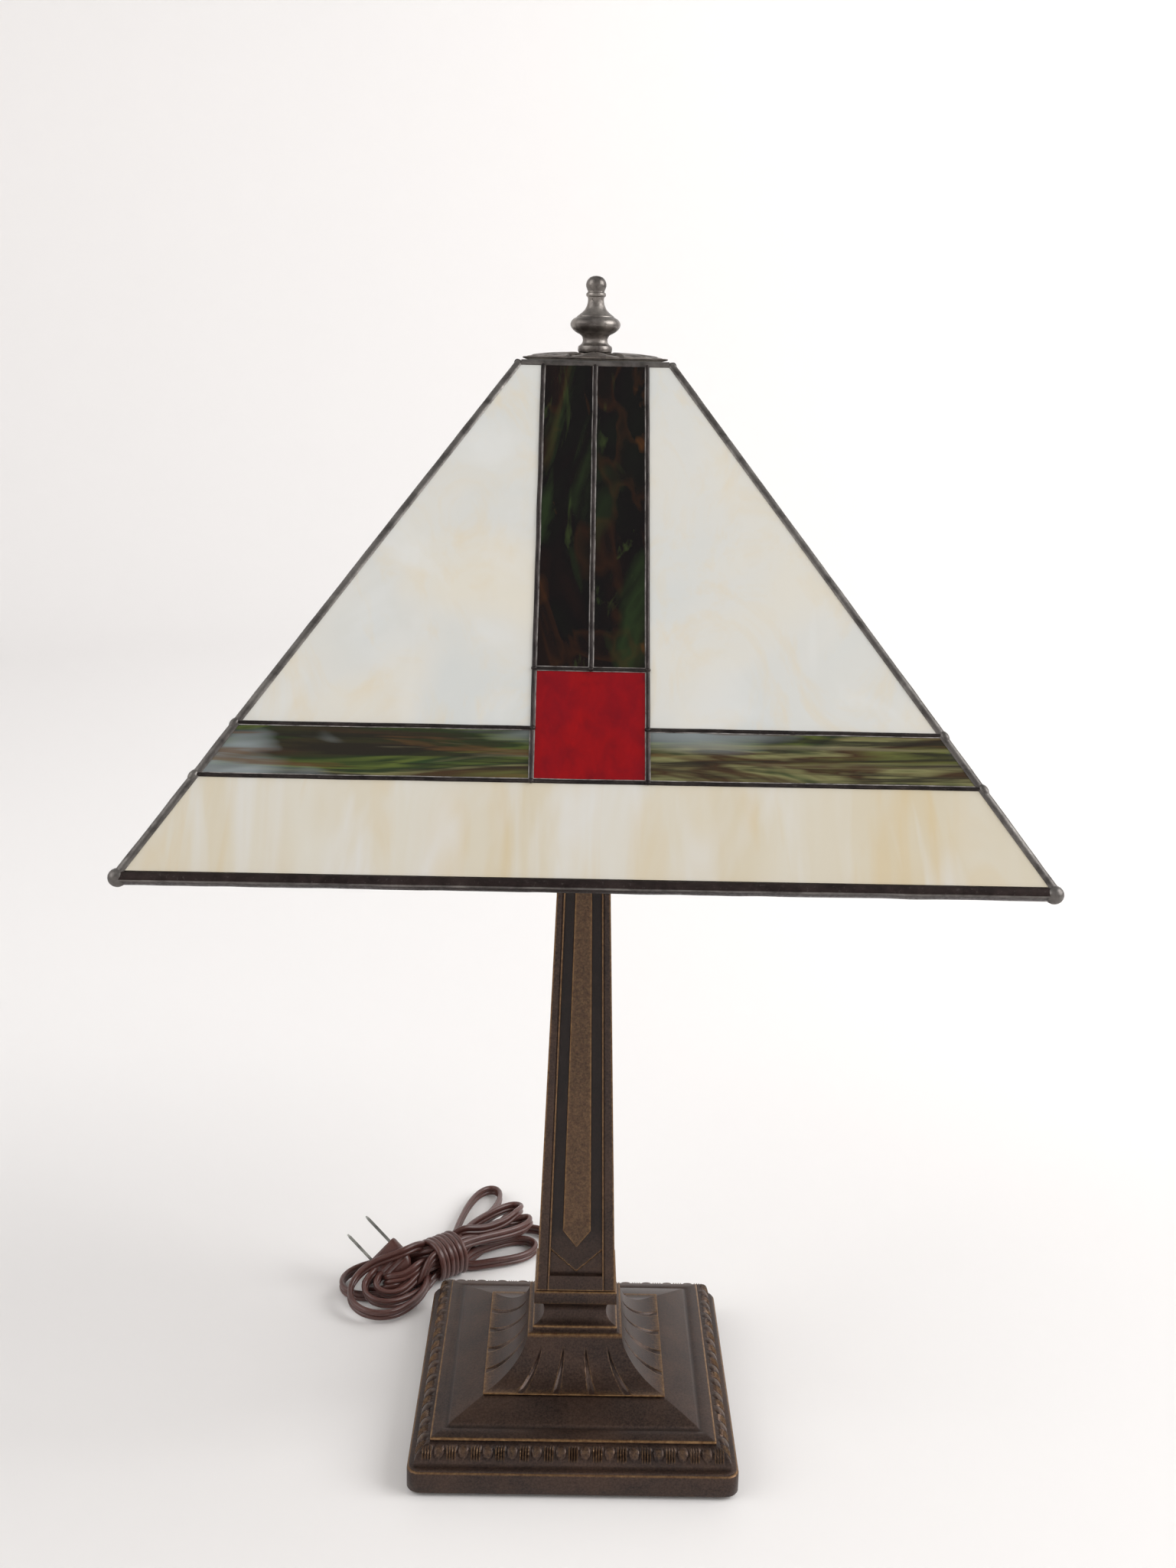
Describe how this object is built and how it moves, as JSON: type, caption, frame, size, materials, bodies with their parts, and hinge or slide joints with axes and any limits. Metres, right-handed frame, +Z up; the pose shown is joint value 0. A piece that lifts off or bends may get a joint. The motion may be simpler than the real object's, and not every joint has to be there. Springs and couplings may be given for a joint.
{
  "type": "stained glass table lamp",
  "caption": "Table lamp with a square leaded-glass pyramid shade on a harp, a tapered bronze column, a stepped square base and a tied flat cord.",
  "frame": {"origin": "middle of the felt pad's underside, on the table", "axes": "+Z up the column; -Y is the front, with the cord leaving the back of the base towards +Y; X runs left to right"},
  "size_m": [0.3086, 0.3442, 0.4921],
  "materials": {
    "cream_glass": "opalescent white glass with faint warm streaks, glossy",
    "beige_glass": "opalescent beige glass with amber streaks, glossy",
    "dark_glass": "near-black maroon art glass with green and amber wisps, glossy",
    "red_glass": "deep red art glass, glossy",
    "green_glass": "streaky green, olive and amber art glass, glossy",
    "solder": "solder with a dark patina, satin",
    "rim_solder": "solder channel with a dark brown patina, satin",
    "antique_pewter": "antiqued cast vent cap, dark recesses",
    "finial_pewter": "antiqued turned finial, satin",
    "felt": "dark green felt",
    "bronze": "casting with a dark bronze finish and worn golden edges",
    "zinc_steel": "zinc plated steel",
    "brass": "satin brass",
    "black_phenolic": "black phenolic",
    "bulb_aluminium": "aluminium screw base",
    "bulb_glass": "frosted white bulb glass",
    "cord_vinyl": "soft brown vinyl, semi-gloss"
  },
  "bodies": {
    "stand": {"felt_pad": "felt", "base_casting": "bronze", "column_foot": "bronze", "column_post": "bronze", "column_cap": "bronze", "threaded_pipe": "zinc_steel", "bottom_washer": "zinc_steel", "bottom_nut": "zinc_steel", "lock_nut": "brass", "harp_saddle": "brass", "harp": "brass", "socket_cap": "brass", "socket_shell": "brass", "socket_interior": "black_phenolic", "screw_shell": "brass", "cord_bushing": "cord_vinyl", "cord_lead": "cord_vinyl", "plug": "cord_vinyl", "cord_hank": "cord_vinyl"},
    "shade": {"glass_front_lower": "beige_glass", "glass_front_band_a": "green_glass", "glass_front_band_b": "green_glass", "glass_front_square": "red_glass", "glass_front_dark_a": "dark_glass", "glass_front_dark_b": "dark_glass", "glass_front_cream_a": "cream_glass", "glass_front_cream_b": "cream_glass", "glass_right_lower": "beige_glass", "glass_right_band_a": "green_glass", "glass_right_band_b": "green_glass", "glass_right_square": "red_glass", "glass_right_dark_a": "dark_glass", "glass_right_dark_b": "dark_glass", "glass_right_cream_a": "cream_glass", "glass_right_cream_b": "cream_glass", "glass_back_lower": "beige_glass", "glass_back_band_a": "green_glass", "glass_back_band_b": "green_glass", "glass_back_square": "red_glass", "glass_back_dark_a": "dark_glass", "glass_back_dark_b": "dark_glass", "glass_back_cream_a": "cream_glass", "glass_back_cream_b": "cream_glass", "glass_left_lower": "beige_glass", "glass_left_band_a": "green_glass", "glass_left_band_b": "green_glass", "glass_left_square": "red_glass", "glass_left_dark_a": "dark_glass", "glass_left_dark_b": "dark_glass", "glass_left_cream_a": "cream_glass", "glass_left_cream_b": "cream_glass", "solder_framework": "solder", "rim_channel": "rim_solder", "vent_cap": "antique_pewter"},
    "finial_body": {"finial": "finial_pewter"},
    "switch": {"switch_knob": "black_phenolic"},
    "ferrule_left": {"harp_ferrule_left": "brass"},
    "ferrule_right": {"harp_ferrule_right": "brass"},
    "bulb": {"bulb_base": "bulb_aluminium", "bulb_globe": "bulb_glass"}
  },
  "joints": [
    {"name": "shade_swivel", "type": "hinge", "parent": "stand", "child": "shade", "pos_m": [0, 0, 0.4607], "axis": [0, 0, 1], "continuous": true},
    {"name": "finial_turn", "type": "hinge", "parent": "stand", "child": "finial_body", "pos_m": [0, 0, 0.4635], "axis": [0, 0, 1], "continuous": true},
    {"name": "switch_turn", "type": "hinge", "parent": "stand", "child": "switch", "pos_m": [0, -0.02, 0.294], "axis": [0, -1, 0], "continuous": true},
    {"name": "ferrule_left_slide", "type": "slide", "parent": "stand", "child": "ferrule_left", "axis": [0, 0, 1], "range_m": [0, 0.012]},
    {"name": "ferrule_right_slide", "type": "slide", "parent": "stand", "child": "ferrule_right", "axis": [0, 0, 1], "range_m": [0, 0.012]},
    {"name": "bulb_turn", "type": "hinge", "parent": "stand", "child": "bulb", "pos_m": [0, 0, 0.318], "axis": [0, 0, 1], "continuous": true}
  ]
}
